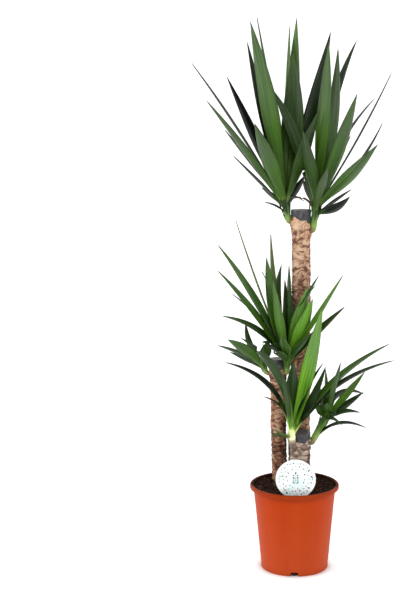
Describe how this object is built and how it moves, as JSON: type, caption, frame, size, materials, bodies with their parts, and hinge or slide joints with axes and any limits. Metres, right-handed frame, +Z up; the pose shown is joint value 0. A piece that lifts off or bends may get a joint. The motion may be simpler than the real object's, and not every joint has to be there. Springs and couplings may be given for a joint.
{
  "type": "potted yucca",
  "caption": "Yucca cane plant: ringed woody canes of stepped height, each with sword-leaf heads, in a round nursery pot of soil.",
  "frame": {"origin": "middle of the pot's underside, on the plane that the pot stands on", "axes": "+Z up along the pot's axis; -Y towards the front, where the label stands; +X to the right as seen from the front"},
  "size_m": [0.4697, 0.2883, 1.3013],
  "materials": {
    "pot_plastic": "satin",
    "compost": "matte",
    "bark_tall": "matte",
    "bark_medium": "matte",
    "bark_short": "matte",
    "sealing_wax": "satin",
    "leaf": "satin",
    "label_sheet": "satin"
  },
  "bodies": {
    "root": {"pot": "pot_plastic", "soil": "compost", "cane_tall": "bark_tall", "cane_medium": "bark_medium", "cane_short": "bark_short", "wax_tall": "sealing_wax", "wax_medium": "sealing_wax", "wax_short": "sealing_wax", "head_tall_left": "leaf", "head_tall_right": "leaf", "head_medium_right": "leaf", "head_medium_left": "leaf", "head_short_front": "leaf", "head_short_right": "leaf", "plant_label": "label_sheet"}
  },
  "joints": []
}
